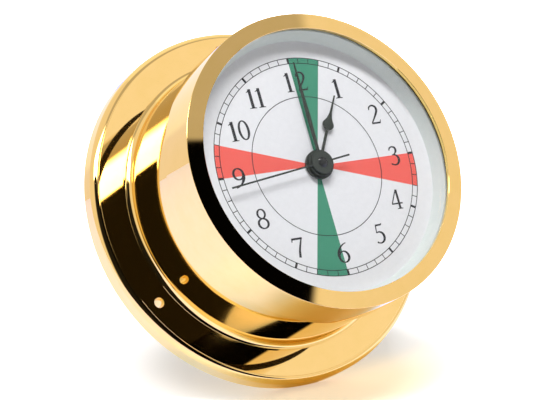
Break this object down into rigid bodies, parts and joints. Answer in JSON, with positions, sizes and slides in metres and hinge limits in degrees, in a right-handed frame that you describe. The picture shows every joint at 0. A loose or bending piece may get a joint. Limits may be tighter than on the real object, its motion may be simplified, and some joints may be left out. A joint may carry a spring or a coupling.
{
  "type": "marine clock",
  "caption": "Round brass ship's clock with a screw-on flange, straight neck, pull-off glazed bezel, printed dial with silence sectors, three hands and a battery quartz movement.",
  "frame": {"origin": "centre of the screw circle, in the plane of the wall that the flange's rim rests on", "axes": "+Z to twelve o'clock, -Y out of the dial to the viewer, +X to the right seen from the front"},
  "size_m": [0.12, 0.0528, 0.12],
  "materials": {
    "polished_brass": "polished and lacquered",
    "turned_brass": "turned",
    "clear_glass": "clear, flat",
    "pale_silicone": "matt",
    "black_rubber": "matt",
    "white_plastic": "matt",
    "white_enamel_paint": "matt white, printed",
    "black_hand_paint": "satin",
    "screw_steel": "plain",
    "spring_steel": "plain",
    "soft_iron": "stamped",
    "magnet": "ground",
    "copper_winding": "enamelled wire",
    "green_laminate": "solder mask",
    "black_resin": "matt",
    "black_plastic": "moulded",
    "wheel_plastic": "moulded",
    "battery_jacket": "printed film, plain"
  },
  "bodies": {
    "case": {"case_body": "polished_brass", "bezel_seal": "black_rubber", "spacer_ring": "white_plastic", "dial": "white_enamel_paint", "dial_feet": "turned_brass", "dial_screws": "screw_steel", "movement_case": "black_plastic", "movement_cover": "black_plastic", "cover_screws": "screw_steel", "movement_screws": "screw_steel", "train_bridge": "spring_steel", "bridge_screw": "screw_steel", "stator": "soft_iron", "coil_core": "soft_iron", "coil": "copper_winding", "circuit_board": "green_laminate", "chip": "black_resin", "quartz_crystal": "spring_steel", "positive_contact": "spring_steel", "negative_contact": "spring_steel"},
    "bezel": {"bezel": "polished_brass", "glass": "clear_glass", "glass_seal": "pale_silicone", "glass_retainer": "turned_brass"},
    "battery": {"battery": "battery_jacket"},
    "seconds": {"seconds_wheel": "wheel_plastic", "second_hand": "black_hand_paint"},
    "intermediate": {"intermediate_wheel": "wheel_plastic"},
    "rotor": {"rotor_magnet": "magnet", "rotor_pinion": "wheel_plastic"},
    "third": {"third_wheel": "wheel_plastic"},
    "centre": {"centre_wheel": "wheel_plastic"},
    "minutes": {"cannon_pinion": "turned_brass", "clutch_ring": "spring_steel", "minute_hand": "black_hand_paint"},
    "hours": {"hour_wheel": "wheel_plastic", "hour_hand": "black_hand_paint"},
    "setting": {"motion_wheel": "wheel_plastic", "setting_knob": "black_plastic"}
  },
  "joints": [
    {"name": "bezel_pull", "type": "slide", "parent": "case", "child": "bezel", "axis": [0, -1, 0], "range_m": [0, 0.014]},
    {"name": "battery_lift", "type": "slide", "parent": "case", "child": "battery", "axis": [0, 1, 0], "range_m": [0, 0.02]},
    {"name": "seconds_turn", "type": "hinge", "parent": "case", "child": "seconds", "pos_m": [0, 0, 0], "axis": [0, 1, 0], "continuous": true},
    {"name": "intermediate_turn", "type": "hinge", "parent": "case", "child": "intermediate", "pos_m": [0, 0, 0.0072], "axis": [0, 1, 0], "continuous": true},
    {"name": "rotor_turn", "type": "hinge", "parent": "case", "child": "rotor", "pos_m": [0.0028, 0, 0.01205], "axis": [0, 1, 0], "continuous": true},
    {"name": "third_turn", "type": "hinge", "parent": "case", "child": "third", "pos_m": [0.00589, 0, 0.0034], "axis": [0, 1, 0], "continuous": true},
    {"name": "centre_turn", "type": "hinge", "parent": "case", "child": "centre", "pos_m": [0, 0, 0], "axis": [0, 1, 0], "continuous": true},
    {"name": "minutes_turn", "type": "hinge", "parent": "case", "child": "minutes", "pos_m": [0, 0, 0], "axis": [0, 1, 0], "continuous": true},
    {"name": "setting_turn", "type": "hinge", "parent": "case", "child": "setting", "pos_m": [-0.0075, 0, 0], "axis": [0, 1, 0], "continuous": true},
    {"name": "hours_turn", "type": "hinge", "parent": "case", "child": "hours", "pos_m": [0, 0, 0], "axis": [0, 1, 0], "continuous": true}
  ],
  "couplings": [
    {"joint": "intermediate_turn", "follows": "seconds_turn", "ratio": -5},
    {"joint": "rotor_turn", "follows": "seconds_turn", "ratio": 30},
    {"joint": "third_turn", "follows": "seconds_turn", "ratio": -0.13333},
    {"joint": "centre_turn", "follows": "seconds_turn", "ratio": 0.016667},
    {"joint": "setting_turn", "follows": "minutes_turn", "ratio": -0.33333},
    {"joint": "hours_turn", "follows": "minutes_turn", "ratio": 0.083333}
  ]
}
